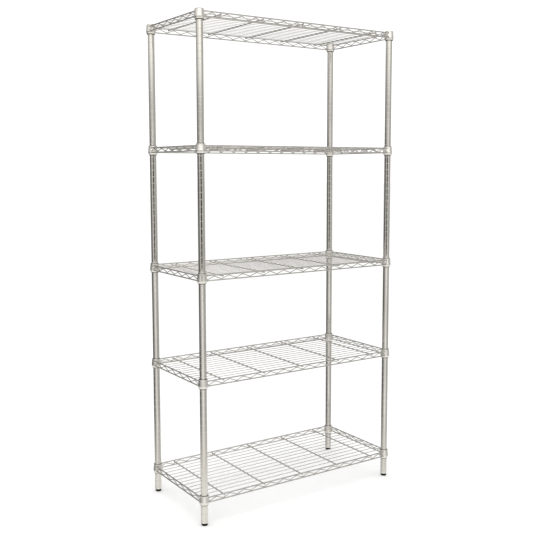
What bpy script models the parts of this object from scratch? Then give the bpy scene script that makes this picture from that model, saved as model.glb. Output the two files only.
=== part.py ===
"""Five-tier chrome wire shelving rack on four grooved round posts.

Units are metres, +Z is up. X runs along the long side, Y runs from the front (-Y) to the back.
The origin is the centre of the footprint, on the floor. Every shelf is a welded wire frame with
a wire deck. Its four corner collars drop over tapered split sleeves, and each sleeve is clipped
round a post with its inner rib in one of the grooves. Every post is two halves joined by a stud.
"""

import math

import bmesh
import bpy
from mathutils import Matrix

INCH = 0.0254

# Driving dimensions
POST_SPACING_X = 0.866
POST_SPACING_Y = 0.382
POST_RADIUS = INCH / 2
POST_WALL = 0.0015
HALF_POST = 36 * INCH
GROOVE_PITCH = INCH
GROOVE_DEPTH = 0.0008
GROOVE_HALF_WIDTH = 0.0016
FLOOR_TO_POST = 0.0095
RAIL_RADIUS = 0.0025
RAIL_OUTSIDE_POST = 0.012
TRUSS_HEIGHT = 0.018
TRUSS_WIRE_RADIUS = 0.0017
LONG_TRUSS_HALF_WAVE = 0.030
SHORT_TRUSS_HALF_WAVE = 0.0305
CROSS_WIRE_RADIUS = 0.0025
CROSS_WIRE_PITCH = 0.1767
CROSS_WIRES = 5
DECK_WIRE_RADIUS = 0.0014
DECK_WIRE_PITCH = 0.030
DECK_WIRES = 12
FIRST_GROOVE = 0.0104
SHELF_GROOVES = {"bottom": 3, "lower": 20, "middle": 35, "upper": 53, "top": 71}
RAIL_ABOVE_GROOVE = 0.0095

GAP = 0.0003
SIDES = 12
WELD = 0.0004
WELD_DISTANCE = 0.000001
CUT_PAST = 0.002
SHARP_ANGLE = math.radians(35)

# Collar and sleeve, as heights from the centre of the shelf's top rail
COLLAR_TOP = 0.0075
COLLAR_WIDEST = -0.0180
COLLAR_ROUNDING = -0.0235
COLLAR_BOTTOM = -0.0265
COLLAR_TOP_RADIUS = 0.0166
COLLAR_WIDEST_RADIUS = 0.0185
COLLAR_ROUNDING_RADIUS = 0.0175
COLLAR_BOTTOM_RADIUS = 0.0160
BORE_TOP_RADIUS = 0.0144
BORE_BOTTOM_RADIUS = 0.0152
SLEEVE_TOP = 0.0088
SLEEVE_BOTTOM = -0.0290
SLIT_WIDTH = 0.0012
INTO_COLLAR = 0.006

# Worked out from the dimensions above
POST_BORE = POST_RADIUS - POST_WALL
POST_BOTTOM = FLOOR_TO_POST
POST_JOINT = POST_BOTTOM + HALF_POST
POST_TOP = POST_JOINT + HALF_POST
RAIL_X = POST_SPACING_X / 2 + RAIL_OUTSIDE_POST
RAIL_Y = POST_SPACING_Y / 2 + RAIL_OUTSIDE_POST
CROSS_WIRE_Z = -(RAIL_RADIUS + CROSS_WIRE_RADIUS + GAP)
DECK_WIRE_Z = CROSS_WIRE_Z + CROSS_WIRE_RADIUS + DECK_WIRE_RADIUS - WELD
CORNERS = {
    "front_left": (-POST_SPACING_X / 2, -POST_SPACING_Y / 2),
    "front_right": (POST_SPACING_X / 2, -POST_SPACING_Y / 2),
    "back_left": (-POST_SPACING_X / 2, POST_SPACING_Y / 2),
    "back_right": (POST_SPACING_X / 2, POST_SPACING_Y / 2),
}

# Feet, inserts, studs and caps
FOOT_PAD_HEIGHT = FLOOR_TO_POST - GAP
FOOT_PAD_RADIUS = 0.0113
FOOT_PAD_ROUNDING = 0.0020
FOOT_STUD_RADIUS = 0.0038
FOOT_STUD_LENGTH = 0.030
FOOT_SOCKET_DEPTH = 0.0040
INSERT_LENGTH = 0.020
JOINT_STUD_RADIUS = 0.0048
JOINT_STUD_LENGTH = 0.040
JOINT_NUT_LENGTH = 0.015
CAP_RIM = 0.0020
CAP_PLUG = 0.010
CHAMFER = 0.0006


def clear_scene():
    for obj in list(bpy.data.objects):
        bpy.data.objects.remove(obj)


def new_collection(name, hidden=False):
    made = bpy.data.collections.new(name)
    made.hide_render = hidden
    bpy.context.scene.collection.children.link(made)
    return made


def new_material(name, colour, roughness, metallic):
    made = bpy.data.materials.new(name)
    made.use_nodes = True
    shader = made.node_tree.nodes["Principled BSDF"]
    shader.inputs["Base Color"].default_value = (*colour, 1.0)
    shader.inputs["Roughness"].default_value = roughness
    shader.inputs["Metallic"].default_value = metallic
    made.diffuse_color = (*colour, 1.0)
    return made


def place(name, mesh, material, location, parent=None):
    """Adds a named part to the rack's collection. Its location is in world space."""
    obj = bpy.data.objects.new(name, mesh)
    rack.objects.link(obj)
    if not mesh.materials:
        mesh.materials.append(material)
    obj.parent = parent
    obj.location = location if parent is None else [a - b for a, b in zip(location, parent.location)]
    return obj


def joint_empty(name, location):
    """An empty on a joint's axis, which carries the pieces that move with it."""
    empty = bpy.data.objects.new(name, None)
    empty.empty_display_size = 0.03
    empty.location = location
    rack.objects.link(empty)
    return empty


def mesh_of(obj):
    """The object's evaluated mesh, after which the object is removed."""
    bpy.context.view_layer.update()
    graph = bpy.context.evaluated_depsgraph_get()
    mesh = bpy.data.meshes.new_from_object(obj.evaluated_get(graph))
    mesh.transform(obj.matrix_world)
    bpy.data.objects.remove(obj)
    return mesh


def turned(name, profile):
    """A solid turned round Z. The profile is (radius, height) pairs, down the outside first.

    A profile that starts and ends on the axis makes a solid bar, any other is closed to a ring.
    """
    on_axis = profile[0][0] == 0.0
    mesh = bpy.data.meshes.new(name)
    bm = bmesh.new()
    points = [bm.verts.new((radius, 0.0, height)) for radius, height in profile]
    ends = points[1:] if on_axis else points[1:] + points[:1]
    for start, end in zip(points, ends):
        bm.edges.new((start, end))
    bm.to_mesh(mesh)
    bm.free()
    obj = bpy.data.objects.new(name, mesh)
    helpers.objects.link(obj)
    screw = obj.modifiers.new("Turn", "SCREW")
    screw.steps = screw.render_steps = SIDES
    screw.use_merge_vertices = True
    screw.merge_threshold = WELD_DISTANCE
    made = mesh_of(obj)
    made.name = name
    made.shade_smooth()
    made.set_sharp_from_angle(angle=SHARP_ANGLE)
    return made


def wire(points, radius):
    """A closed four-sided wire through the points, with one edge up."""
    curve = bpy.data.curves.new("wire", "CURVE")
    curve.dimensions = "3D"
    curve.bevel_depth = radius
    curve.bevel_resolution = 0
    curve.use_fill_caps = True
    curve.twist_mode = "Z_UP"
    spline = curve.splines.new("POLY")
    spline.points.add(len(points) - 1)
    for point, place_at in zip(spline.points, points):
        point.co = (*place_at, 1.0)
    obj = bpy.data.objects.new("wire", curve)
    helpers.objects.link(obj)
    mesh = mesh_of(obj)
    bm = bmesh.new()
    bm.from_mesh(mesh)
    bmesh.ops.remove_doubles(bm, verts=bm.verts, dist=WELD_DISTANCE)
    bmesh.ops.recalc_face_normals(bm, faces=bm.faces)
    bm.to_mesh(mesh)
    bm.free()
    return mesh


def helper(mesh, location, group):
    """A hidden solid that a Boolean joins or cuts with."""
    obj = bpy.data.objects.new(mesh.name, mesh)
    obj.location = location
    obj.hide_render = True
    obj.display_type = "WIRE"
    group.objects.link(obj)
    return obj


def combined(name, steps):
    """One solid from (operation, meshes with their places) steps, taken in order."""
    base = None
    for operation, placed in steps:
        group = bpy.data.collections.new(name + operation)
        helpers.children.link(group)
        for mesh, location in placed:
            if base is None:
                base = helper(mesh, location, helpers)
                continue
            helper(mesh, location, group)
        boolean = base.modifiers.new(operation, "BOOLEAN")
        boolean.operation = operation
        boolean.operand_type = "COLLECTION"
        boolean.collection = group
        boolean.solver = "EXACT"
    made = mesh_of(base)
    made.name = name
    return made


def corner_places():
    return [(x, y, 0.0) for x, y in CORNERS.values()]


def rail_meshes():
    """The straight top and bottom rails of the four sides. Each end dies in a collar's wall."""
    half_x = POST_SPACING_X / 2 - INTO_COLLAR
    half_y = POST_SPACING_Y / 2 - INTO_COLLAR
    made = []
    for height in (0.0, -TRUSS_HEIGHT):
        for side in (-1, 1):
            y = side * RAIL_Y
            x = side * RAIL_X
            made.append(wire([(-half_x, y, height), (half_x, y, height)], RAIL_RADIUS))
            made.append(wire([(x, -half_y, height), (x, half_y, height)], RAIL_RADIUS))
    return made


def zigzag(post_spacing, half_wave):
    """(distance along the truss, height) of each bend of its wire, with a low bend in the middle.

    The bends stop a hair short of the rails, and both ends die in the collars.
    """
    between_rails = TRUSS_HEIGHT - 2 * RAIL_RADIUS
    steepness = between_rails / half_wave
    bend_reach = between_rails / 2 - TRUSS_WIRE_RADIUS * math.hypot(1.0, steepness) - GAP
    end = post_spacing / 2 - INTO_COLLAR
    last = math.floor(end / half_wave)
    stations = [-end] + [number * half_wave for number in range(-last, last + 1)] + [end]
    points = []
    for along in stations:
        depth = abs((along / half_wave) % 2 - 1)
        points.append((along, bend_reach * (1 - 2 * depth) - TRUSS_HEIGHT / 2))
    return points


def zigzag_meshes():
    """The bent wire between the two rails of each side."""
    made = []
    for side in (-1, 1):
        long_side = zigzag(POST_SPACING_X, LONG_TRUSS_HALF_WAVE)
        short_side = zigzag(POST_SPACING_Y, SHORT_TRUSS_HALF_WAVE)
        made.append(wire([(x, side * RAIL_Y, z) for x, z in long_side], TRUSS_WIRE_RADIUS))
        made.append(wire([(side * RAIL_X, y, z) for y, z in short_side], TRUSS_WIRE_RADIUS))
    return made


def frame_mesh():
    """A shelf's frame: four trusses and four corner collars, welded into one ring."""
    collar = turned(
        "collar",
        [
            (0.0, COLLAR_TOP),
            (COLLAR_TOP_RADIUS, COLLAR_TOP),
            (COLLAR_WIDEST_RADIUS, COLLAR_WIDEST),
            (COLLAR_ROUNDING_RADIUS, COLLAR_ROUNDING),
            (COLLAR_BOTTOM_RADIUS, COLLAR_BOTTOM),
            (0.0, COLLAR_BOTTOM),
        ],
    )
    above = COLLAR_TOP + CUT_PAST
    below = COLLAR_BOTTOM - CUT_PAST
    bore = turned(
        "bore",
        [
            (0.0, above),
            (collar_bore(above), above),
            (collar_bore(below), below),
            (0.0, below),
        ],
    )
    here = (0.0, 0.0, 0.0)
    wires = [(mesh, here) for mesh in rail_meshes() + zigzag_meshes()]
    collars = [(collar, place_at) for place_at in corner_places()]
    bores = [(bore, place_at) for place_at in corner_places()]
    return combined("shelf_frame", [("UNION", wires + collars), ("DIFFERENCE", bores)])


def collar_bore(height):
    """The collar's inner radius. It tapers, wider at the bottom, and the sleeve wedges in it."""
    slope = (BORE_BOTTOM_RADIUS - BORE_TOP_RADIUS) / (COLLAR_BOTTOM - COLLAR_TOP)
    return BORE_TOP_RADIUS + slope * (height - COLLAR_TOP)


def deck_mesh():
    """A shelf's deck: long thin wires welded across the top of the cross wires."""
    wires = []
    long_half = RAIL_X - RAIL_RADIUS - GAP
    for number in range(DECK_WIRES):
        y = (number - (DECK_WIRES - 1) / 2) * DECK_WIRE_PITCH
        wires.append(wire([(-long_half, y, DECK_WIRE_Z), (long_half, y, DECK_WIRE_Z)], DECK_WIRE_RADIUS))
    for number in range(CROSS_WIRES):
        x = (number - (CROSS_WIRES - 1) / 2) * CROSS_WIRE_PITCH
        wires.append(wire([(x, -RAIL_Y, CROSS_WIRE_Z), (x, RAIL_Y, CROSS_WIRE_Z)], CROSS_WIRE_RADIUS))
    return combined("shelf_deck", [("UNION", [(mesh, (0.0, 0.0, 0.0)) for mesh in wires])])


def groove_profile(height):
    """A post's outline past one groove, from above it to below it."""
    floor_half = GROOVE_HALF_WIDTH - GROOVE_DEPTH
    return [
        (POST_RADIUS, height + GROOVE_HALF_WIDTH),
        (POST_RADIUS - GROOVE_DEPTH, height + floor_half),
        (POST_RADIUS - GROOVE_DEPTH, height - floor_half),
        (POST_RADIUS, height - GROOVE_HALF_WIDTH),
    ]


def groove_height(number):
    """A groove's height above the floor, counting the lowest one as 0."""
    return POST_BOTTOM + FIRST_GROOVE + number * GROOVE_PITCH


def post_mesh(name, bottom, top, nut_bottom, nut_top):
    """Half a post: a tube with the grooves that carry sleeves, and a nut in an end that is joined."""
    nut_bore = JOINT_STUD_RADIUS + GAP
    profile = [(POST_RADIUS, top)]
    for groove in sorted(SHELF_GROOVES.values(), reverse=True):
        height = groove_height(groove)
        if bottom < height < top:
            profile += groove_profile(height)
    profile.append((POST_RADIUS, bottom))
    if nut_bottom:
        ring_top = bottom + JOINT_NUT_LENGTH
        profile += [(nut_bore, bottom), (nut_bore, ring_top), (POST_BORE, ring_top)]
    else:
        profile.append((POST_BORE, bottom))
    if nut_top:
        ring_bottom = top - JOINT_NUT_LENGTH
        profile += [(POST_BORE, ring_bottom), (nut_bore, ring_bottom), (nut_bore, top)]
    else:
        profile.append((POST_BORE, top))
    return turned(name, profile)


def sleeve_mesh():
    """A tapered plastic sleeve with a rib inside for the groove, and one slit to clip it on."""
    inner = POST_RADIUS + GAP
    rib = inner - GROOVE_DEPTH + GAP / 3
    rib_height = -RAIL_ABOVE_GROOVE
    rib_half = GROOVE_HALF_WIDTH - 1.5 * GAP
    rib_top_half = rib_half - (inner - rib)
    ring = turned(
        "sleeve_ring",
        [
            (collar_bore(SLEEVE_TOP) - GAP, SLEEVE_TOP),
            (collar_bore(SLEEVE_BOTTOM) - GAP, SLEEVE_BOTTOM),
            (inner, SLEEVE_BOTTOM),
            (inner, rib_height - rib_half),
            (rib, rib_height - rib_top_half),
            (rib, rib_height + rib_top_half),
            (inner, rib_height + rib_half),
            (inner, SLEEVE_TOP),
        ],
    )
    slit = bpy.data.meshes.new("slit")
    bm = bmesh.new()
    length = 2 * COLLAR_WIDEST_RADIUS
    height = 2 * (SLEEVE_TOP - SLEEVE_BOTTOM)
    size = Matrix.Diagonal((length, SLIT_WIDTH, height, 1.0))
    aside = Matrix.Rotation(math.radians(180 / SIDES), 4, "Z") @ Matrix.Translation((length / 2, 0.0, 0.0))
    bmesh.ops.create_cube(bm, size=1.0, matrix=aside @ size)
    bm.to_mesh(slit)
    bm.free()
    here = (0.0, 0.0, 0.0)
    return combined("split_sleeve", [("UNION", [(ring, here)]), ("DIFFERENCE", [(slit, here)])])


def cap_mesh():
    """A post's end cap: a rounded rim on the tube's end and a plug inside it."""
    plug = POST_BORE - GAP
    return turned(
        "post_cap",
        [
            (0.0, CAP_RIM),
            (POST_RADIUS - 3 * CHAMFER, CAP_RIM),
            (POST_RADIUS - CHAMFER, CAP_RIM - CHAMFER),
            (POST_RADIUS, CAP_RIM - 2 * CHAMFER),
            (POST_RADIUS, GAP),
            (plug, GAP),
            (plug - CHAMFER, -CAP_PLUG),
            (0.0, -CAP_PLUG),
        ],
    )


def joint_stud_mesh():
    """The stud that screws the two halves of a post together."""
    half = JOINT_STUD_LENGTH / 2
    return turned(
        "joining_stud",
        [
            (0.0, half),
            (JOINT_STUD_RADIUS - CHAMFER, half),
            (JOINT_STUD_RADIUS, half - CHAMFER),
            (JOINT_STUD_RADIUS, CHAMFER - half),
            (JOINT_STUD_RADIUS - CHAMFER, -half),
            (0.0, -half),
        ],
    )


def insert_mesh():
    """The threaded insert pressed in a post's lower end."""
    bore = FOOT_STUD_RADIUS + GAP
    plug = POST_BORE - GAP
    return turned(
        "foot_insert",
        [
            (plug, INSERT_LENGTH),
            (plug, CHAMFER),
            (plug - CHAMFER, 0.0),
            (bore, 0.0),
            (bore, INSERT_LENGTH),
        ],
    )


def foot_pad_mesh():
    """The plastic foot, with the socket in its top that holds the stud."""
    socket = FOOT_STUD_RADIUS + GAP
    half_round = FOOT_PAD_ROUNDING * math.sin(math.radians(45))
    corner = FOOT_PAD_RADIUS - FOOT_PAD_ROUNDING
    return turned(
        "foot_pad",
        [
            (0.0, FOOT_PAD_HEIGHT - FOOT_SOCKET_DEPTH),
            (socket, FOOT_PAD_HEIGHT - FOOT_SOCKET_DEPTH),
            (socket, FOOT_PAD_HEIGHT),
            (FOOT_PAD_RADIUS - CHAMFER, FOOT_PAD_HEIGHT),
            (FOOT_PAD_RADIUS, FOOT_PAD_HEIGHT - CHAMFER),
            (FOOT_PAD_RADIUS, FOOT_PAD_ROUNDING),
            (corner + half_round, FOOT_PAD_ROUNDING - half_round),
            (corner, 0.0),
            (0.0, 0.0),
        ],
    )


def foot_stud_mesh():
    """The threaded stud that stands in the foot and screws into the insert."""
    return turned(
        "foot_stud",
        [
            (0.0, FOOT_STUD_LENGTH),
            (FOOT_STUD_RADIUS - CHAMFER, FOOT_STUD_LENGTH),
            (FOOT_STUD_RADIUS, FOOT_STUD_LENGTH - CHAMFER),
            (FOOT_STUD_RADIUS, 0.0),
            (0.0, 0.0),
        ],
    )


def build_rack():
    post_chrome = new_material("post_chrome", (0.80, 0.79, 0.76), 0.12, 1.0)
    wire_chrome = new_material("wire_chrome", (0.78, 0.77, 0.74), 0.16, 1.0)
    zinc_steel = new_material("zinc_steel", (0.62, 0.62, 0.61), 0.35, 1.0)
    black_plastic = new_material("black_plastic", (0.02, 0.02, 0.02), 0.45, 0.0)

    lower_post = post_mesh("lower_post", POST_BOTTOM, POST_JOINT - GAP / 2, False, True)
    upper_post = post_mesh("upper_post", POST_JOINT + GAP / 2, POST_TOP, True, False)
    cap = cap_mesh()
    joint_stud = joint_stud_mesh()
    insert = insert_mesh()
    pad = foot_pad_mesh()
    foot_stud = foot_stud_mesh()
    sleeve = sleeve_mesh()
    frame = frame_mesh()
    deck = deck_mesh()

    for corner, (x, y) in CORNERS.items():
        place("lower_post_" + corner, lower_post, post_chrome, (x, y, 0.0))
        place("upper_post_" + corner, upper_post, post_chrome, (x, y, 0.0))
        place("joining_stud_" + corner, joint_stud, zinc_steel, (x, y, POST_JOINT))
        place("post_cap_" + corner, cap, black_plastic, (x, y, POST_TOP))
        place("foot_insert_" + corner, insert, zinc_steel, (x, y, POST_BOTTOM))
        foot = joint_empty("foot_axis_" + corner, (x, y, 0.0))
        place("foot_pad_" + corner, pad, black_plastic, (x, y, 0.0), foot)
        stud_bottom = FOOT_PAD_HEIGHT - FOOT_SOCKET_DEPTH + GAP
        place("foot_stud_" + corner, foot_stud, zinc_steel, (x, y, stud_bottom), foot)

    for level, groove in SHELF_GROOVES.items():
        rail = groove_height(groove) + RAIL_ABOVE_GROOVE
        for corner, (x, y) in CORNERS.items():
            place(f"split_sleeve_{level}_{corner}", sleeve, black_plastic, (x, y, rail))
        shelf = joint_empty("shelf_axis_" + level, (0.0, 0.0, rail))
        place("shelf_frame_" + level, frame, wire_chrome, (0.0, 0.0, rail), shelf)
        place("shelf_deck_" + level, deck, wire_chrome, (0.0, 0.0, rail), shelf)


clear_scene()
rack = new_collection("wire_shelving_rack")
helpers = new_collection("cutters_and_guides", hidden=True)
build_rack()
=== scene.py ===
"""The looks of the chrome wire shelving rack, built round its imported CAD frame.

Units are metres, +Z is up, and the frame is the CAD's: X along the long side, -Y the front.
Places come from the frame's boxes. Every CAD node is replaced by detailed pieces, which ride on
the node's body. Heights on a shelf are measured from its top rail's centre line.
"""

import math

import bpy
import numpy as np
from mathutils import Euler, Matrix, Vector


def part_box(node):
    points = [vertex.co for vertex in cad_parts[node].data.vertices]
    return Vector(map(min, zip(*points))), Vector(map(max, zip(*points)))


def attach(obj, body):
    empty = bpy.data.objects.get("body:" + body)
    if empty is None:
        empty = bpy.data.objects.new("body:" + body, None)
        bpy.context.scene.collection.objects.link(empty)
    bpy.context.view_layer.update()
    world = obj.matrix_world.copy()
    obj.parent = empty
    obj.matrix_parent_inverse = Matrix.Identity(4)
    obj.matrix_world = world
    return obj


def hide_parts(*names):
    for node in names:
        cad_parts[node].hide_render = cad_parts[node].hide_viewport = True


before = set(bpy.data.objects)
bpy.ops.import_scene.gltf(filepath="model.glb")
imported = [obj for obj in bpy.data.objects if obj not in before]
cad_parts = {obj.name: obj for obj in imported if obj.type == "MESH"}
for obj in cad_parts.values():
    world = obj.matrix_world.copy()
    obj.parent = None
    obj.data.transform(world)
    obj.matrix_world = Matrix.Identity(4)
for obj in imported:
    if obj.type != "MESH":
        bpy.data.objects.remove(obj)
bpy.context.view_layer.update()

MM = 0.001
CORNERS = ("front_left", "front_right", "back_left", "back_right")
LEVELS = ("bottom", "lower", "middle", "upper", "top")
X_AXIS, Y_AXIS, Z_AXIS = (1, 0, 0), (0, 1, 0), (0, 0, 1)

# Posts
POST_WALL = 1.5 * MM
POST_EDGE = 0.4 * MM
POST_SIDES = 48
GROOVES = 72
GROOVE_PITCH = 25.4 * MM
FIRST_GROOVE = 10.4 * MM
GROOVE_TO_END = 3.0 * MM
# A groove as (height from its middle, depth) in mm. The outermost two keep the tube straight.
GROOVE_SHAPE = [
    (-1.2, 0.0),
    (-0.7, 0.0),
    (-0.35, 0.06),
    (0.0, 0.09),
    (0.35, 0.06),
    (0.7, 0.0),
    (1.2, 0.0),
]

# Plugs in the posts. Their ribs and the insert's foot are (radius past the plug's, height) in mm.
PLUG_CLEARANCE = 0.2 * MM
CAP_CHAMFER = 0.8 * MM
CAP_RIBS = 3
CAP_FIRST_RIB = 2.0 * MM
CAP_RIB_PITCH = 2.4 * MM
CAP_RIB = [(-0.5, 0.0), (0.0, 0.8), (0.0, 1.4)]
# The cap's plug narrows by the neck under its lip, which starts just above the post's end
CAP_NECK = 0.2 * MM
CAP_LIP = 0.1 * MM
CAP_LIP_EDGE = 0.3 * MM
CAP_ROUNDING = 1.1 * MM
CAP_ROUNDING_STEPS = 6
CAP_EDGE_DROP = 0.25 * MM
# The domed top as (share of the post's radius, depth under its middle)
CAP_DOME = [(0.55, 0.06 * MM), (0.12, 0.0)]
INSERT_RIBS = 6
INSERT_FIRST_RIB = 1.5 * MM
INSERT_RIB_PITCH = 2.8 * MM
INSERT_RIB = [(-0.5, 0.0), (0.0, 0.9), (0.0, 1.3)]
INSERT_FOOT = [(-0.8, 0.0), (-0.3, 0.5)]
INSERT_NECK = 0.5 * MM
INSERT_CHAMFER = 0.4 * MM

# Studs. A thread is its pitch and depth.
STUD_CLEARANCE = 0.2 * MM
FOOT_THREAD = (1.25 * MM, 0.6 * MM)
JOINT_THREAD = (1.5 * MM, 0.7 * MM)
THREAD_SIDES = 28
RINGS_TO_A_PITCH = 6

# Foot pads
PAD_ROUNDING = 2.2 * MM
PAD_ROUNDING_STEPS = 7
# The hollow under the pad, and how far inside the flat's edge its wall starts and ends
PAD_RECESS = 0.3 * MM
PAD_RECESS_START = 1.0 * MM
PAD_RECESS_END = 1.5 * MM
# The waist as (depth, share of the pad's height)
PAD_WAIST = [(0.05 * MM, 0.55), (0.5 * MM, 0.62), (0.5 * MM, 0.72), (0.1 * MM, 0.79)]
PAD_BAND_DEPTH = 0.1 * MM
PAD_EDGE_DEPTH = 0.6 * MM
SOCKET_EDGE = 0.3 * MM

# Shelf wires
RAIL_RADIUS = 2.5 * MM
RAIL_SIDES = 20
RAIL_OUTSIDE_POST = 12.0 * MM
RAIL_END_RADIUS = 1.2 * MM
RAIL_END_OUTWARD = 1.0 * MM
TRUSS_HEIGHT = 18.0 * MM
TRUSS_WIRE_RADIUS = 1.7 * MM
TRUSS_WIRE_SIDES = 12
LONG_HALF_WAVE = 30.0 * MM
SHORT_HALF_WAVE = 30.5 * MM
BEND_RADIUS = 5.0 * MM
BEND_STEPS = 4
DECK_WIRES = 12
DECK_WIRE_PITCH = 30.0 * MM
DECK_WIRE_RADIUS = 1.4 * MM
DECK_WIRE_SIDES = 12
CROSS_WIRES = 5
CROSS_WIRE_PITCH = 176.7 * MM
CROSS_WIRE_RADIUS = 2.5 * MM
CROSS_WIRE_SIDES = 16
CROSS_WIRE_Z = -5.2 * MM
# How far welded wires sink into each other
SQUASH = 0.4 * MM
# Where the deck's wires end: the surface wires short of the rails' middles, the cross wires past them
DECK_WIRE_SHORT = 1.2 * MM
CROSS_WIRE_PAST = 0.8 * MM
# Distances from the middle of the post: where a rail gets its full radius, and where things end
RAIL_FULL = 12.2 * MM
RAIL_END = 9.7 * MM
ZIGZAG_END = 11.2 * MM
LAST_BEAD = 14.0 * MM
# A bar's rounded end: its length and its smallest radius, as shares of the bar's radius
BAR_ROUNDING = 0.35
BAR_END = 0.7

# Welds. Beads are given as half sizes along the rail, across it and up.
ZIGZAG_BEAD = (2.4 * MM, 1.2 * MM, 0.9 * MM)
CROSS_WIRE_BEAD = (2.8 * MM, 1.8 * MM, 0.9 * MM)
BEAD_SIDES = 10
BEAD_LAYERS = 5
FLARE_SIDES = 16
# The flare where a rail meets a collar, as (distance from the post's middle, outward, radius) in mm
RAIL_FLARE = [
    (11.6, 0.9, 2.3),
    (13.0, 0.0, 3.1),
    (13.8, 0.0, 2.85),
    (14.8, 0.0, 2.6),
    (16.2, 0.0, 2.45),
]

# Collars
COLLAR_TOP = 7.5 * MM
COLLAR_BOTTOM = -26.5 * MM
COLLAR_EDGE = 0.3 * MM
BORE_TOP = 14.45 * MM
BORE_BOTTOM = 15.25 * MM
# The outside as (radius, height) in mm, from the rolled lower edge up to the lip
COLLAR_OUTSIDE = [
    (15.65, -26.5),
    (15.85, -26.35),
    (16.15, -25.7),
    (16.75, -24.3),
    (17.5, -22.3),
    (18.15, -20.2),
    (18.45, -18.4),
    (18.45, -16.6),
    (18.2, -14.4),
    (17.85, -11.0),
    (17.45, -6.5),
    (17.05, -1.5),
    (16.7, 3.0),
    (16.55, 5.6),
    (16.6, 6.2),
    (16.55, 6.9),
    (16.2, 7.35),
    (15.7, 7.5),
]

# Sleeves
SLEEVE_TOP = 8.8 * MM
SLEEVE_BOTTOM = -29.0 * MM
SLEEVE_TO_COLLAR = 0.35 * MM
SLEEVE_TO_POST = 0.25 * MM
SLEEVE_EDGE = 0.4 * MM
SLEEVE_STEPS = 48
SLEEVE_RIB = -9.5 * MM
RIB_DEPTH = 0.2 * MM
RIB_HALF_FOOT = 1.1 * MM
RIB_HALF_CREST = 0.5 * MM
SLIT_DEGREES = 5.0
SLIT_TURN = 15.0

# Materials. The ranges are where a noise's dark and light tones lie on its values.
NOISE_RANGE = (0.3, 0.7)
CLOUD_RANGE = (0.32, 0.68)
DUST_RANGE = (0.35, 0.7)
SMEARS_TO_A_CLOUD = 3.0
COPY_SPREAD = 7.0
# How much a noise changes along X, Y and Z
EVEN = (1.0, 1.0, 1.0)
ALONG_POST = (1.0, 1.0, 0.12)

# Studio. Only the chrome sees the mirrored tones; everything else sees even white.
WHITE_LIGHT = 1.16
WARM_WHITE = (1.0, 0.975, 0.92)
# Bands of the mirrored studio from straight down to straight up: the two shares of that way that
# the band fades in between, and its stops, as (share of a turn from -X through -Y, brightness)
MIRRORED_BANDS = {
    "below": (0.0, 0.01, [(0.0, 1.0), (1.0, 1.0)]),
    "floor": (
        0.08,
        0.17,
        [
            (0.0, 0.90), (0.08, 0.94), (0.58, 0.90), (0.66, 0.62), (0.80, 0.58), (0.86, 0.74),
            (0.90, 0.86), (1.0, 0.90),
        ],
    ),
    "room": (
        0.315,
        0.35,
        [
            (0.0, 0.40), (0.045, 0.50), (0.105, 0.72), (0.150, 1.02), (0.190, 1.04), (0.240, 0.80),
            (0.290, 0.56), (0.360, 0.46), (0.450, 0.50), (0.560, 0.60), (0.640, 0.40), (0.690, 0.26),
            (0.820, 0.22), (0.889, 0.16), (0.919, 0.05), (0.948, 0.12), (0.975, 0.32), (1.0, 0.40),
        ],
    ),
    "upper_room": (
        0.512,
        0.53,
        [
            (0.0, 0.50), (0.08, 0.62), (0.15, 0.76), (0.22, 0.78), (0.28, 0.66), (0.36, 0.46),
            (0.45, 0.50), (0.56, 0.60), (0.64, 0.42), (0.69, 0.28), (0.82, 0.26), (0.889, 0.28),
            (0.93, 0.34), (1.0, 0.50),
        ],
    ),
    "tent": (
        0.54,
        0.575,
        [
            (0.0, 0.85), (0.08, 1.20), (0.167, 1.45), (0.26, 1.40), (0.33, 0.70), (0.40, 0.42),
            (0.51, 0.75), (0.61, 0.62), (0.68, 0.36), (0.80, 0.36), (0.86, 0.50), (0.92, 0.66),
            (1.0, 0.85),
        ],
    ),
    "ceiling": (0.80, 0.90, [(0.0, 0.62), (1.0, 0.62)]),
}
CARD_BEARING = 240.0
CARD_DISTANCE = 3.6
CARD_WIDTH = 2.4
CARD_LOW, CARD_HIGH = 0.52, 1.46
CARD_DARK, CARD_LIGHT = (0.016, 0.016, 0.016), (0.02, 0.02, 0.02)
FLOOR_RADIUS = 60.0
FLOOR_SIDES = 96
FLOOR_DARK, FLOOR_LIGHT = (0.885, 0.885, 0.882), (0.90, 0.90, 0.898)
KEY_PLACE = (-1.5, -2.5, 5.0)
KEY_AIM = (0.0, 0.0, 0.6)
KEY_SIZE = 3.0
KEY_WATTS = 60.0

# Camera, with its turns in degrees
CAMERA_PLACE = (-1.810, -2.688, 1.302)
CAMERA_PITCH, CAMERA_YAW, CAMERA_ROLL = 5.875, 33.728, 0.099
SENSOR_WIDTH = 36.0
LENS = 53.98
SHIFT_UP = -0.037
CLIP_END = 200.0


# Places from the frame


def height_of(node):
    """The node's lowest height, and how tall it is."""
    low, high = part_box(node)
    return low.z, high.z - low.z


def radius_of(node):
    low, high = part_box(node)
    return (high.x - low.x) / 2


def middle_of(node):
    low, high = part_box(node)
    return (low.x + high.x) / 2, (low.y + high.y) / 2


corner_xy = {corner: middle_of(f"lower_post_{corner}") for corner in CORNERS}
post_radius = radius_of("lower_post_front_left")
post_bottom = height_of("lower_post_front_left")[0]
post_x = abs(corner_xy["front_left"][0])
post_y = abs(corner_xy["front_left"][1])
rail_x = post_x + RAIL_OUTSIDE_POST
rail_y = post_y + RAIL_OUTSIDE_POST
cross_wire_x = [(number - (CROSS_WIRES - 1) / 2) * CROSS_WIRE_PITCH for number in range(CROSS_WIRES)]


# Geometry helpers


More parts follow.
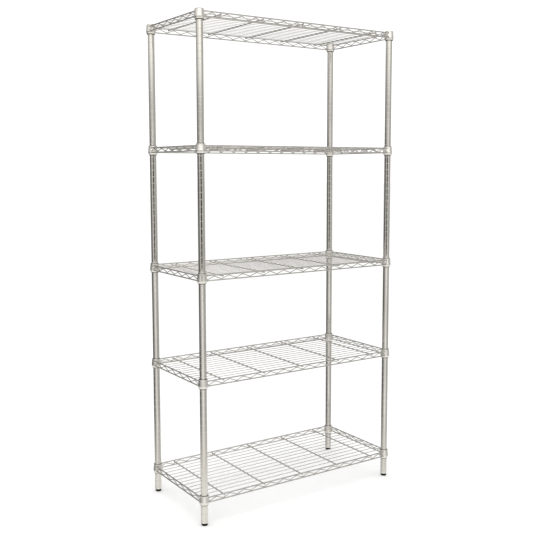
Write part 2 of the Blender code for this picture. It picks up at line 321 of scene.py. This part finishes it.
class Mould:
    """Gathers the points and faces of one mesh."""

    def __init__(self):
        self.points = []
        self.faces = []

    def skin(self, rings, loop=False):
        """Faces across a run of rings. A loop joins the last to the first; else both are capped."""
        rings = np.asarray(rings, float)
        count, sides = rings.shape[:2]
        start = len(self.points)
        self.points += [tuple(point) for point in rings.reshape(-1, 3)]
        for ring in range(count if loop else count - 1):
            this = start + ring * sides
            following = start + (ring + 1) % count * sides
            for side in range(sides):
                after = (side + 1) % sides
                self.faces.append((this + side, this + after, following + after, following + side))
        if not loop:
            last = start + (count - 1) * sides
            self.faces.append(tuple(range(start + sides - 1, start - 1, -1)))
            self.faces.append(tuple(range(last, last + sides)))

    def mesh(self, name, sharp_degrees=40.0):
        made = bpy.data.meshes.new(name)
        made.from_pydata(self.points, [], self.faces)
        made.update()
        made.shade_smooth()
        made.set_sharp_from_angle(angle=math.radians(sharp_degrees))
        return made


def circle(sides):
    angles = np.arange(sides) * (2 * math.pi / sides)
    return np.cos(angles), np.sin(angles)


def quarter_turn(steps):
    """(1 - cosine, 1 - sine) at even steps of a quarter turn."""
    tilts = [math.radians(90.0 * step / steps) for step in range(steps + 1)]
    return [(1 - math.cos(tilt), 1 - math.sin(tilt)) for tilt in tilts]


def turned_rings(outline, sides, centre=(0.0, 0.0)):
    """A ring of points for each (radius, height) of the outline."""
    cosine, sine = circle(sides)
    rings = []
    for radius, height in outline:
        x = centre[0] + radius * cosine
        y = centre[1] + radius * sine
        rings.append(np.stack([x, y, np.full(sides, height)], axis=1))
    return rings


def turned_tube(name, outline, sharp_degrees):
    """A turned tube, whose outline goes up the outside and down the inside."""
    mould = Mould()
    mould.skin(turned_rings(outline, POST_SIDES), loop=True)
    return mould.mesh(name, sharp_degrees)


def turned_solid(name, outline, sharp_degrees):
    """A turned solid, whose outline is capped at both ends."""
    mould = Mould()
    mould.skin(turned_rings(outline, POST_SIDES))
    return mould.mesh(name, sharp_degrees)


def add_wire(mould, path, radii, sides, across):
    """A round wire along a flat path, whose plane has the normal across."""
    path = np.asarray(path, float)
    radii = np.broadcast_to(radii, len(path))
    across = np.asarray(across, float)
    cosine, sine = circle(sides)
    steps = np.diff(path, axis=0)
    steps /= np.linalg.norm(steps, axis=1)[:, None]
    rings = []
    for number, point in enumerate(path):
        before = steps[max(number - 1, 0)]
        after = steps[min(number, len(steps) - 1)]
        along = before + after
        along /= np.linalg.norm(along)
        outward = np.cross(across, along)
        offset = np.outer(cosine, outward) + np.outer(sine, across)
        rings.append(point + radii[number] * offset)
    mould.skin(rings)


def add_bar(mould, start, end, radius, sides, across):
    """A straight round wire with lightly rounded ends."""
    start, end = np.asarray(start, float), np.asarray(end, float)
    along = (end - start) / np.linalg.norm(end - start)
    round_off = BAR_ROUNDING * radius
    path = [start, start + along * round_off, end - along * round_off, end]
    end_radius = BAR_END * radius
    add_wire(mould, path, [end_radius, radius, radius, end_radius], sides, across)


def rounded(points):
    """The path with an arc in place of each corner."""
    points = [np.asarray(point, float) for point in points]
    path = [points[0]]
    for before, corner, after in zip(points, points[1:], points[2:]):
        back = (before - corner) / np.linalg.norm(before - corner)
        forth = (after - corner) / np.linalg.norm(after - corner)
        half = math.acos(np.clip(back @ forth, -1.0, 1.0)) / 2
        reach = BEND_RADIUS / math.tan(half)
        middle = back + forth
        centre = corner + middle / np.linalg.norm(middle) * BEND_RADIUS / math.sin(half)
        first = corner + back * reach - centre
        last = corner + forth * reach - centre
        turn = math.pi - 2 * half
        for step in range(BEND_STEPS + 1):
            share = step / BEND_STEPS
            mix = math.sin((1 - share) * turn) * first + math.sin(share * turn) * last
            path.append(centre + mix / math.sin(turn))
    path.append(points[-1])
    return path


def add_bead(mould, centre, size):
    """A small weld bead: a flattened ball with the three half sizes."""
    cosine, sine = circle(BEAD_SIDES)
    rings = []
    for layer in range(BEAD_LAYERS):
        tilt = math.pi * (layer + 0.5) / BEAD_LAYERS
        flat = math.sin(tilt)
        x = centre[0] + size[0] * flat * cosine
        y = centre[1] + size[1] * flat * sine
        z = np.full(BEAD_SIDES, centre[2] - size[2] * math.cos(tilt))
        rings.append(np.stack([x, y, z], axis=1))
    mould.skin(rings)


def place(name, mesh, finish, location, body, *nodes):
    """Adds a piece that rides on a CAD body and stands for the named CAD nodes."""
    obj = bpy.data.objects.new(name, mesh)
    bpy.context.scene.collection.objects.link(obj)
    if not mesh.materials:
        mesh.materials.append(look[finish])
    obj.location = location
    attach(obj, body)
    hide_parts(*nodes)


# Materials


def new_shader(name, metallic, **sockets):
    """A material with its Principled shader, whose constant sockets are set by name."""
    made = bpy.data.materials.new(name)
    made.use_nodes = True
    shader = made.node_tree.nodes["Principled BSDF"]
    shader.inputs["Metallic"].default_value = metallic
    for socket, value in sockets.items():
        shader.inputs[socket.replace("_", " ")].default_value = value
    return made, shader


def own_coordinates(tree, stretch):
    """Object coordinates, stretched, and shifted so that no two copies look alike."""
    place_at = tree.nodes.new("ShaderNodeTexCoord")
    chance = tree.nodes.new("ShaderNodeObjectInfo")
    shift = tree.nodes.new("ShaderNodeVectorMath")
    shift.operation = "MULTIPLY_ADD"
    shift.inputs[1].default_value = stretch
    tree.links.new(place_at.outputs["Object"], shift.inputs[0])
    spread = tree.nodes.new("ShaderNodeMath")
    spread.operation = "MULTIPLY"
    spread.inputs[1].default_value = COPY_SPREAD
    tree.links.new(chance.outputs["Random"], spread.inputs[0])
    tree.links.new(spread.outputs[0], shift.inputs[2])
    return shift.outputs[0]


def add_noise(tree, vector, scale, detail):
    noise = tree.nodes.new("ShaderNodeTexNoise")
    noise.inputs["Scale"].default_value = scale
    noise.inputs["Detail"].default_value = detail
    tree.links.new(vector, noise.inputs["Vector"])
    return noise.outputs["Fac"]


def link_tones(tree, fac, tones, socket):
    """Colours the socket by a ramp of (place, colour) over the factor."""
    ramp = tree.nodes.new("ShaderNodeValToRGB")
    elements = ramp.color_ramp.elements
    while len(elements) < len(tones):
        elements.new(0.5)
    for element, (spot, colour) in zip(elements, tones):
        element.position = spot
        element.color = (*colour, 1.0)
    tree.links.new(fac, ramp.inputs["Fac"])
    tree.links.new(ramp.outputs["Color"], socket)


def link_two_tones(tree, fac, spots, dark, light, socket):
    link_tones(tree, fac, [(spots[0], dark), (spots[1], light)], socket)


def link_range(tree, fac, low, high, socket):
    """Spreads the noise's usual range over low to high."""
    span = tree.nodes.new("ShaderNodeMapRange")
    span.inputs["From Min"].default_value = NOISE_RANGE[0]
    span.inputs["From Max"].default_value = NOISE_RANGE[1]
    span.inputs["To Min"].default_value = low
    span.inputs["To Max"].default_value = high
    tree.links.new(fac, span.inputs["Value"])
    tree.links.new(span.outputs["Result"], socket)


def link_bump(tree, fac, strength, distance, shader):
    bump = tree.nodes.new("ShaderNodeBump")
    bump.inputs["Strength"].default_value = strength
    bump.inputs["Distance"].default_value = distance
    tree.links.new(fac, bump.inputs["Height"])
    tree.links.new(bump.outputs["Normal"], shader.inputs["Normal"])


def chrome(name, dark, light, roughness, cloud_scale, ripple_scale, ripple, stretch=EVEN):
    """Chrome plate: faint clouds of tone, smears in its gloss and a slight ripple."""
    made, shader = new_shader(name, metallic=1.0)
    tree = made.node_tree
    vector = own_coordinates(tree, stretch)
    clouds = add_noise(tree, vector, scale=cloud_scale, detail=4.0)
    link_two_tones(tree, clouds, CLOUD_RANGE, dark, light, shader.inputs["Base Color"])
    smears = add_noise(tree, vector, scale=SMEARS_TO_A_CLOUD * cloud_scale, detail=6.0)
    link_range(tree, smears, *roughness, shader.inputs["Roughness"])
    ripples = add_noise(tree, vector, scale=ripple_scale, detail=3.0)
    link_bump(tree, ripples, strength=0.5, distance=ripple, shader=shader)
    return made


def plastic(name, dark, light, roughness, grain_scale, grain):
    """Moulded black plastic with a fine spark-eroded grain and a little dust in its tone."""
    made, shader = new_shader(name, metallic=0.0, Specular_IOR_Level=0.12)
    tree = made.node_tree
    vector = own_coordinates(tree, EVEN)
    dust = add_noise(tree, vector, scale=90.0, detail=5.0)
    link_two_tones(tree, dust, DUST_RANGE, dark, light, shader.inputs["Base Color"])
    link_range(tree, dust, *roughness, shader.inputs["Roughness"])
    bumps = add_noise(tree, vector, scale=grain_scale, detail=2.0)
    link_bump(tree, bumps, strength=0.6, distance=grain, shader=shader)
    return made


def matt(name, dark, light, cloud_scale):
    """A dull surface with faint clouds of tone, for the studio's own things."""
    made, shader = new_shader(name, metallic=0.0, Roughness=1.0, Specular_IOR_Level=0.0)
    tree = made.node_tree
    place_at = tree.nodes.new("ShaderNodeTexCoord")
    clouds = add_noise(tree, place_at.outputs["Object"], scale=cloud_scale, detail=3.0)
    link_two_tones(tree, clouds, NOISE_RANGE, dark, light, shader.inputs["Base Color"])
    return made


def make_materials():
    return {
        "tube": chrome(
            "tube_chrome",
            dark=(0.68, 0.67, 0.64),
            light=(0.80, 0.79, 0.77),
            roughness=(0.04, 0.10),
            cloud_scale=60.0,
            ripple_scale=260.0,
            ripple=0.02 * MM,
            stretch=ALONG_POST,
        ),
        "rail": chrome(
            "rail_chrome",
            dark=(0.54, 0.53, 0.52),
            light=(0.68, 0.67, 0.66),
            roughness=(0.08, 0.18),
            cloud_scale=70.0,
            ripple_scale=420.0,
            ripple=0.05 * MM,
        ),
        "wire": chrome(
            "wire_chrome",
            dark=(0.60, 0.59, 0.575),
            light=(0.74, 0.73, 0.715),
            roughness=(0.10, 0.22),
            cloud_scale=70.0,
            ripple_scale=420.0,
            ripple=0.05 * MM,
        ),
        "collar": chrome(
            "collar_chrome",
            dark=(0.85, 0.84, 0.815),
            light=(0.93, 0.92, 0.90),
            roughness=(0.24, 0.34),
            cloud_scale=110.0,
            ripple_scale=380.0,
            ripple=0.06 * MM,
        ),
        "weld": chrome(
            "weld_chrome",
            dark=(0.44, 0.43, 0.42),
            light=(0.66, 0.65, 0.63),
            roughness=(0.22, 0.40),
            cloud_scale=300.0,
            ripple_scale=900.0,
            ripple=0.15 * MM,
        ),
        "zinc": chrome(
            "zinc_plate",
            dark=(0.50, 0.50, 0.49),
            light=(0.68, 0.68, 0.66),
            roughness=(0.28, 0.45),
            cloud_scale=250.0,
            ripple_scale=700.0,
            ripple=0.08 * MM,
        ),
        "plastic": plastic(
            "black_plastic",
            dark=(0.006, 0.006, 0.0065),
            light=(0.020, 0.019, 0.018),
            roughness=(0.38, 0.55),
            grain_scale=1500.0,
            grain=0.04 * MM,
        ),
        "rubber": plastic(
            "foot_plastic",
            dark=(0.002, 0.002, 0.002),
            light=(0.008, 0.0075, 0.007),
            roughness=(0.35, 0.50),
            grain_scale=900.0,
            grain=0.04 * MM,
        ),
    }


# Posts, caps, studs and feet


def post_mesh(name, length, grooves):
    """Half a post as a grooved tube, from height 0 up. The grooves are heights of their middles."""
    outer = post_radius
    bore = outer - POST_WALL
    outline = [(bore, 0.0), (outer - POST_EDGE, 0.0), (outer, POST_EDGE)]
    for middle in grooves:
        outline += [(outer - depth * MM, middle + up * MM) for up, depth in GROOVE_SHAPE]
    outline += [(outer, length - POST_EDGE), (outer - POST_EDGE, length), (bore, length)]
    return turned_tube(name, outline, sharp_degrees=60.0)


def groove_heights(bottom, length):
    """The grooves' middles that lie on a half post, as heights above its own lower end."""
    first = post_bottom + FIRST_GROOVE - bottom
    heights = [first + number * GROOVE_PITCH for number in range(GROOVES)]
    return [height for height in heights if GROOVE_TO_END < height <= length - GROOVE_TO_END]


def threaded_mesh(name, radius, length, pitch, depth):
    """A stud with a real helical thread and a lead-in chamfer at each end."""
    cosine, sine = circle(THREAD_SIDES)
    share = np.arange(THREAD_SIDES) / THREAD_SIDES
    rings = []
    count = math.ceil(length / pitch * RINGS_TO_A_PITCH)
    for ring in range(count + 1):
        height = length * ring / count
        phase = (height / pitch - share) % 1.0
        tooth = 1.0 - np.abs(2 * phase - 1.0)
        from_end = min(height, length - height)
        lead = max(0.0, depth - from_end)
        reach = radius - depth * (1.0 - tooth) - lead
        rings.append(np.stack([reach * cosine, reach * sine, np.full(THREAD_SIDES, height)], axis=1))
    mould = Mould()
    mould.skin(rings)
    return mould.mesh(name, sharp_degrees=70.0)


def ribs(radius, first, pitch, count, shape):
    """The outline of the grip ribs up a plug."""
    outline = []
    for number in range(count):
        foot = first + number * pitch
        outline += [(radius + past * MM, foot + up * MM) for past, up in shape]
    return outline


def cap_mesh(rim, plug_radius, plug_depth):
    """A post's end cap, with a softly domed top and a ribbed plug inside the tube."""
    outer = post_radius
    outline = [(plug_radius - CAP_CHAMFER, -plug_depth), (plug_radius, CAP_CHAMFER - plug_depth)]
    outline += ribs(plug_radius, CAP_FIRST_RIB - plug_depth, CAP_RIB_PITCH, CAP_RIBS, CAP_RIB)
    outline += [
        (plug_radius - CAP_NECK, CAP_LIP),
        (outer - CAP_LIP_EDGE, CAP_LIP),
        (outer, CAP_LIP + CAP_LIP_EDGE),
    ]
    for inward, down in quarter_turn(CAP_ROUNDING_STEPS):
        outline.append((outer - CAP_ROUNDING * inward, rim - CAP_EDGE_DROP - CAP_ROUNDING * down))
    outline += [(outer * share, rim - drop) for share, drop in CAP_DOME]
    return turned_solid("cap_detail", outline, sharp_degrees=50.0)


def pad_mesh(radius, height, socket_radius, socket_floor):
    """The foot: a turned plastic pad, rounded below, with a shallow waist and a socket on top."""
    flat = radius - PAD_ROUNDING
    outline = [(flat - PAD_RECESS_END, PAD_RECESS), (flat - PAD_RECESS_START, 0.0)]
    for up, inward in quarter_turn(PAD_ROUNDING_STEPS):
        outline.append((radius - PAD_ROUNDING * inward, PAD_ROUNDING * up))
    outline += [(radius - depth, height * share) for depth, share in PAD_WAIST]
    outline += [
        (radius - PAD_BAND_DEPTH, height - PAD_EDGE_DEPTH),
        (radius - PAD_EDGE_DEPTH, height),
        (socket_radius + SOCKET_EDGE, height),
        (socket_radius, height - SOCKET_EDGE),
        (socket_radius, socket_floor),
    ]
    return turned_solid("pad_detail", outline, sharp_degrees=50.0)


def insert_mesh(radius, length, bore):
    """The threaded insert, with grip ribs that bite the tube."""
    chamfered = bore + INSERT_CHAMFER
    outline = [(chamfered, 0.0)]
    outline += [(radius + past * MM, up * MM) for past, up in INSERT_FOOT]
    outline += ribs(radius, INSERT_FIRST_RIB, INSERT_RIB_PITCH, INSERT_RIBS, INSERT_RIB)
    outline += [
        (radius - INSERT_NECK, length),
        (chamfered, length),
        (bore, length - INSERT_CHAMFER),
        (bore, INSERT_CHAMFER),
    ]
    return turned_tube("insert_detail", outline, sharp_degrees=50.0)


# Shelves


def bore_radius(height):
    """The collar bore's radius at a height."""
    share = (COLLAR_TOP - height) / (COLLAR_TOP - COLLAR_BOTTOM)
    return BORE_TOP + (BORE_BOTTOM - BORE_TOP) * share


def collars_mesh():
    """The four corner collars, each turned with a bulge near its foot and a tapered bore."""
    outline = [(radius * MM, height * MM) for radius, height in COLLAR_OUTSIDE]
    outline += [(BORE_TOP + COLLAR_EDGE, COLLAR_TOP), (BORE_TOP, COLLAR_TOP - COLLAR_EDGE)]
    outline += [(BORE_BOTTOM, COLLAR_BOTTOM + COLLAR_EDGE), (BORE_BOTTOM + COLLAR_EDGE / 2, COLLAR_BOTTOM)]
    mould = Mould()
    for centre in corner_xy.values():
        mould.skin(turned_rings(outline, POST_SIDES, centre), loop=True)
    return mould.mesh("collars_detail", sharp_degrees=35.0)


def rail_path(post, offset):
    """(along, aside) of a rail. Its tapered ends lean outward, to stay in the collars' walls."""
    outward = offset + math.copysign(RAIL_END_OUTWARD, offset)
    half = [(post - RAIL_FULL, offset), (post - RAIL_END, outward)]
    return [(-along, aside) for along, aside in reversed(half)] + half


def rails_mesh():
    """The straight top and bottom rails of the four sides."""
    radii = [RAIL_END_RADIUS, RAIL_RADIUS, RAIL_RADIUS, RAIL_END_RADIUS]
    mould = Mould()
    for height in (0.0, -TRUSS_HEIGHT):
        for side in (-1, 1):
            long_path = [(along, aside, height) for along, aside in rail_path(post_x, side * rail_y)]
            short_path = [(aside, along, height) for along, aside in rail_path(post_y, side * rail_x)]
            add_wire(mould, long_path, radii, RAIL_SIDES, Z_AXIS)
            add_wire(mould, short_path, radii, RAIL_SIDES, Z_AXIS)
    return mould.mesh("rails_detail")


def zigzag_corners(post, half_wave):
    """(along, height) of a zigzag wire's corners, before they are rounded."""
    lean = math.atan2(TRUSS_HEIGHT - 2 * (RAIL_RADIUS + TRUSS_WIRE_RADIUS), half_wave)
    apex = TRUSS_HEIGHT / 2 - RAIL_RADIUS - TRUSS_WIRE_RADIUS + SQUASH
    reach = apex + BEND_RADIUS * (1 / math.cos(lean) - 1)
    end = post - ZIGZAG_END
    last = math.floor(end / half_wave)
    stations = [-end] + [number * half_wave for number in range(-last, last + 1)] + [end]
    corners = []
    for along in stations:
        depth = abs((along / half_wave) % 2 - 1)
        corners.append((along, reach * (1 - 2 * depth) - TRUSS_HEIGHT / 2))
    return corners


def zigzags_mesh():
    """The bent wire between the two rails of each side."""
    long_corners = zigzag_corners(post_x, LONG_HALF_WAVE)
    short_corners = zigzag_corners(post_y, SHORT_HALF_WAVE)
    mould = Mould()
    for side in (-1, 1):
        long_path = rounded([(along, side * rail_y, height) for along, height in long_corners])
        short_path = rounded([(side * rail_x, along, height) for along, height in short_corners])
        add_wire(mould, long_path, TRUSS_WIRE_RADIUS, TRUSS_WIRE_SIDES, Y_AXIS)
        add_wire(mould, short_path, TRUSS_WIRE_RADIUS, TRUSS_WIRE_SIDES, X_AXIS)
    return mould.mesh("zigzags_detail")


def zigzag_touches(post, half_wave):
    """(along, height) where a zigzag wire meets its rails and is welded."""
    last = math.floor((post - LAST_BEAD) / half_wave)
    heights = {0: RAIL_RADIUS - TRUSS_HEIGHT, 1: -RAIL_RADIUS}
    return [(number * half_wave, heights[number % 2]) for number in range(-last, last + 1)]


def welds_mesh():
    """Beads where the zigzags meet the rails, the rails the collars and the cross wires the rails."""
    length, width, thickness = ZIGZAG_BEAD
    mould = Mould()
    for along, height in zigzag_touches(post_x, LONG_HALF_WAVE):
        for side in (-rail_y, rail_y):
            add_bead(mould, (along, side, height), (length, width, thickness))
    for along, height in zigzag_touches(post_y, SHORT_HALF_WAVE):
        for side in (-rail_x, rail_x):
            add_bead(mould, (side, along, height), (width, length, thickness))
    for x, y in corner_xy.values():
        for height in (0.0, -TRUSS_HEIGHT):
            add_rail_flares(mould, x, y, height)
    for x in cross_wire_x:
        for side in (-rail_y, rail_y):
            add_bead(mould, (x, side, -RAIL_RADIUS), CROSS_WIRE_BEAD)
    return mould.mesh("welds_detail")


def add_rail_flares(mould, x, y, height):
    """The spread foot of weld round each of the two rails that run into a collar."""
    right, back = math.copysign(MM, x), math.copysign(MM, y)
    out_x, out_y = math.copysign(rail_x, x), math.copysign(rail_y, y)
    radii = [radius * MM for _, _, radius in RAIL_FLARE]
    along_x = [(x - right * far, out_y + back * aside, height) for far, aside, _ in RAIL_FLARE]
    along_y = [(out_x + right * aside, y - back * far, height) for far, aside, _ in RAIL_FLARE]
    add_wire(mould, along_x, radii, FLARE_SIDES, Z_AXIS)
    add_wire(mould, along_y, radii, FLARE_SIDES, Z_AXIS)


def deck_mesh():
    """The long thin surface wires, welded across the top of the cross wires."""
    height = CROSS_WIRE_Z + CROSS_WIRE_RADIUS + DECK_WIRE_RADIUS - SQUASH
    end = rail_x - DECK_WIRE_SHORT
    mould = Mould()
    for number in range(DECK_WIRES):
        y = (number - (DECK_WIRES - 1) / 2) * DECK_WIRE_PITCH
        add_bar(mould, (-end, y, height), (end, y, height), DECK_WIRE_RADIUS, DECK_WIRE_SIDES, Y_AXIS)
    return mould.mesh("deck_detail")


def cross_wires_mesh():
    """The thicker wires from the front truss to the back one, under the surface wires."""
    height = CROSS_WIRE_Z
    end = rail_y + CROSS_WIRE_PAST
    mould = Mould()
    for x in cross_wire_x:
        add_bar(mould, (x, -end, height), (x, end, height), CROSS_WIRE_RADIUS, CROSS_WIRE_SIDES, X_AXIS)
    return mould.mesh("cross_detail")


def sleeve_mesh():
    """The tapered split sleeve, with a rib for the groove inside and a slit down one side."""
    inner = post_radius + SLEEVE_TO_POST
    crest = inner - RIB_DEPTH
    foot = bore_radius(SLEEVE_BOTTOM) - SLEEVE_TO_COLLAR
    head = bore_radius(SLEEVE_TOP) - SLEEVE_TO_COLLAR
    outline = [
        (foot - SLEEVE_EDGE, SLEEVE_BOTTOM),
        (foot, SLEEVE_BOTTOM + SLEEVE_EDGE),
        (head, SLEEVE_TOP - SLEEVE_EDGE),
        (head - SLEEVE_EDGE, SLEEVE_TOP),
        (inner, SLEEVE_TOP),
        (inner, SLEEVE_RIB + RIB_HALF_FOOT),
        (crest, SLEEVE_RIB + RIB_HALF_CREST),
        (crest, SLEEVE_RIB - RIB_HALF_CREST),
        (inner, SLEEVE_RIB - RIB_HALF_FOOT),
        (inner, SLEEVE_BOTTOM),
    ]
    first = SLIT_TURN + SLIT_DEGREES / 2
    sweep = 360.0 - SLIT_DEGREES
    slices = []
    for step in range(SLEEVE_STEPS + 1):
        angle = math.radians(first + sweep * step / SLEEVE_STEPS)
        slices.append([(r * math.cos(angle), r * math.sin(angle), z) for r, z in reversed(outline)])
    mould = Mould()
    mould.skin(slices)
    return mould.mesh("sleeve_detail", sharp_degrees=35.0)


# Building the rack


def build_posts():
    halves = {}
    for half in ("lower", "upper"):
        bottom, length = height_of(f"{half}_post_front_left")
        tube = post_mesh(f"{half}_post_detail", length, groove_heights(bottom, length))
        halves[half] = (bottom, tube)
    for corner, (x, y) in corner_xy.items():
        for half, (bottom, tube) in halves.items():
            place(f"{half}_tube_{corner}", tube, "tube", (x, y, bottom), "posts", f"{half}_post_{corner}")


def build_ends():
    """The caps on top, and the inserts, joining studs and levelling feet."""
    cap_bottom, cap_height = height_of("post_cap_front_left")
    insert_bottom, insert_length = height_of("foot_insert_front_left")
    stud_bottom, stud_length = height_of("foot_stud_front_left")
    joint_bottom, joint_length = height_of("joining_stud_front_left")
    _, pad_height = height_of("foot_pad_front_left")
    post_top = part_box("upper_post_front_left")[1].z
    plug_radius = post_radius - POST_WALL - PLUG_CLEARANCE
    stud_radius = radius_of("foot_stud_front_left")
    joint_radius = radius_of("joining_stud_front_left")
    pad_radius = radius_of("foot_pad_front_left")
    hole = stud_radius + STUD_CLEARANCE

    cap = cap_mesh(cap_bottom + cap_height - post_top, plug_radius, post_top - cap_bottom)
    insert = insert_mesh(plug_radius, insert_length, hole)
    stud = threaded_mesh("foot_stud_detail", stud_radius, stud_length, *FOOT_THREAD)
    joint = threaded_mesh("joint_stud_detail", joint_radius, joint_length, *JOINT_THREAD)
    pad = pad_mesh(pad_radius, pad_height, hole, stud_bottom - STUD_CLEARANCE)
    for corner, (x, y) in corner_xy.items():
        foot = f"foot_{corner}"
        place(f"cap_{corner}", cap, "plastic", (x, y, post_top), "posts", f"post_cap_{corner}")
        place(f"insert_{corner}", insert, "zinc", (x, y, insert_bottom), "posts", f"foot_insert_{corner}")
        place(f"joint_{corner}", joint, "zinc", (x, y, joint_bottom), "posts", f"joining_stud_{corner}")
        place(f"pad_{corner}", pad, "rubber", (x, y, 0.0), foot, f"foot_pad_{corner}")
        place(f"stud_{corner}", stud, "zinc", (x, y, stud_bottom), foot, f"foot_stud_{corner}")


def build_shelves():
    """The five shelves, with the sleeves that they sit on."""
    sleeve = sleeve_mesh()
    frame_parts = {
        "rails": (rails_mesh(), "rail"),
        "zigzags": (zigzags_mesh(), "wire"),
        "collars": (collars_mesh(), "collar"),
        "welds": (welds_mesh(), "weld"),
    }
    deck_parts = {
        "surface_wires": (deck_mesh(), "wire"),
        "cross_wires": (cross_wires_mesh(), "wire"),
    }
    for level in LEVELS:
        body = f"{level}_shelf"
        rail_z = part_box(f"shelf_frame_{level}")[1].z - COLLAR_TOP
        middle = (0.0, 0.0, rail_z)
        for part, (mesh, finish) in frame_parts.items():
            place(f"{level}_{part}", mesh, finish, middle, body, f"shelf_frame_{level}")
        for part, (mesh, finish) in deck_parts.items():
            place(f"{level}_{part}", mesh, finish, middle, body, f"shelf_deck_{level}")
        for corner, (x, y) in corner_xy.items():
            node = f"split_sleeve_{level}_{corner}"
            place(f"{level}_sleeve_{corner}", sleeve, "plastic", (x, y, rail_z), "posts", node)


# Studio


def warm(brightness):
    return tuple(brightness * share for share in WARM_WHITE)


def link_mirrored_tones(tree, socket):
    """Colours the socket with the mirrored studio, by the direction that the ray looks in."""
    direction = tree.nodes.new("ShaderNodeTexCoord")
    split = tree.nodes.new("ShaderNodeSeparateXYZ")
    tree.links.new(direction.outputs["Generated"], split.inputs["Vector"])
    rise = tree.nodes.new("ShaderNodeMapRange")
    rise.inputs["From Min"].default_value = -1.0
    tree.links.new(split.outputs["Z"], rise.inputs["Value"])
    around = tree.nodes.new("ShaderNodeTexGradient")
    around.gradient_type = "RADIAL"
    tree.links.new(direction.outputs["Generated"], around.inputs["Vector"])
    below = None
    for starts, ends, stops in MIRRORED_BANDS.values():
        band = tree.nodes.new("ShaderNodeMix")
        band.data_type = "RGBA"
        fade = tree.nodes.new("ShaderNodeMapRange")
        fade.inputs["From Min"].default_value = starts
        fade.inputs["From Max"].default_value = ends
        tree.links.new(rise.outputs["Result"], fade.inputs["Value"])
        tree.links.new(fade.outputs["Result"], band.inputs["Factor"])
        if below:
            tree.links.new(below.outputs["Result"], band.inputs["A"])
        tones = [(share, warm(brightness)) for share, brightness in stops]
        link_tones(tree, around.outputs["Fac"], tones, band.inputs["B"])
        below = band
    tree.links.new(below.outputs["Result"], socket)


def build_world():
    """Even white light, with the tones of a studio for the chrome to mirror."""
    world = bpy.data.worlds.new("studio")
    world.use_nodes = True
    tree = world.node_tree
    tree.nodes.clear()
    output = tree.nodes.new("ShaderNodeOutputWorld")
    mix = tree.nodes.new("ShaderNodeMixShader")
    plain = tree.nodes.new("ShaderNodeBackground")
    plain.inputs["Color"].default_value = (1.0, 1.0, 1.0, 1.0)
    plain.inputs["Strength"].default_value = WHITE_LIGHT
    mirrored = tree.nodes.new("ShaderNodeBackground")
    link_mirrored_tones(tree, mirrored.inputs["Color"])
    rays = tree.nodes.new("ShaderNodeLightPath")
    tree.links.new(rays.outputs["Is Glossy Ray"], mix.inputs["Fac"])
    tree.links.new(plain.outputs["Background"], mix.inputs[1])
    tree.links.new(mirrored.outputs["Background"], mix.inputs[2])
    tree.links.new(mix.outputs["Shader"], output.inputs["Surface"])
    bpy.context.scene.world = world


def add_stage(name, points, material):
    """Adds a flat sheet with the points as its outline, as a part of the studio."""
    mould = Mould()
    mould.points = points
    mould.faces = [tuple(range(len(points)))]
    obj = bpy.data.objects.new(name, mould.mesh(name))
    obj.data.materials.append(material)
    bpy.context.scene.collection.objects.link(obj)
    return obj


def build_dark_card():
    """A dark card behind the camera that only the chrome mirrors, as thin dark lines."""
    bearing = math.radians(CARD_BEARING)
    outward = (math.cos(bearing), math.sin(bearing))
    half = CARD_WIDTH / 2
    points = []
    for side, height in ((-half, CARD_LOW), (half, CARD_LOW), (half, CARD_HIGH), (-half, CARD_HIGH)):
        x = CARD_DISTANCE * outward[0] - side * outward[1]
        y = CARD_DISTANCE * outward[1] + side * outward[0]
        points.append((x, y, height))
    name = "card_behind_camera"
    card = add_stage(name, points, matt(name, CARD_DARK, CARD_LIGHT, cloud_scale=4.0))
    card.visible_camera = False
    card.visible_shadow = False
    card.visible_diffuse = False


def build_floor():
    """A plain pale floor."""
    cosine, sine = circle(FLOOR_SIDES)
    points = [(FLOOR_RADIUS * x, FLOOR_RADIUS * y, 0.0) for x, y in zip(cosine, sine)]
    floor = add_stage("floor", points, matt("floor_paper", FLOOR_DARK, FLOOR_LIGHT, cloud_scale=3.0))
    floor.visible_glossy = False


def build_key_light():
    """A large soft light above the front left, which the chrome doesn't mirror."""
    light = bpy.data.lights.new("key", "AREA")
    light.shape = "RECTANGLE"
    light.size = KEY_SIZE
    light.size_y = KEY_SIZE
    light.energy = KEY_WATTS
    key = bpy.data.objects.new("key", light)
    key.location = KEY_PLACE
    x, y, z = np.subtract(KEY_AIM, KEY_PLACE)
    key.rotation_euler = Euler((math.atan2(math.hypot(x, y), -z), 0.0, math.atan2(-x, y)))
    key.visible_glossy = False
    key.visible_camera = False
    bpy.context.scene.collection.objects.link(key)


def build_camera():
    """The viewpoint: a little above the rack's middle, off its front left corner."""
    data = bpy.data.cameras.new("camera")
    data.sensor_width = SENSOR_WIDTH
    data.lens = LENS
    data.shift_y = SHIFT_UP
    data.clip_end = CLIP_END
    camera = bpy.data.objects.new("camera", data)
    camera.location = CAMERA_PLACE
    turns = (90.0 - CAMERA_PITCH, CAMERA_ROLL, -CAMERA_YAW)
    camera.rotation_euler = Euler([math.radians(turn) for turn in turns])
    bpy.context.scene.collection.objects.link(camera)
    bpy.context.scene.camera = camera


look = make_materials()
build_posts()
build_ends()
build_shelves()
build_world()
build_dark_card()
build_floor()
build_key_light()
build_camera()
bpy.context.scene.view_settings.view_transform = "Standard"
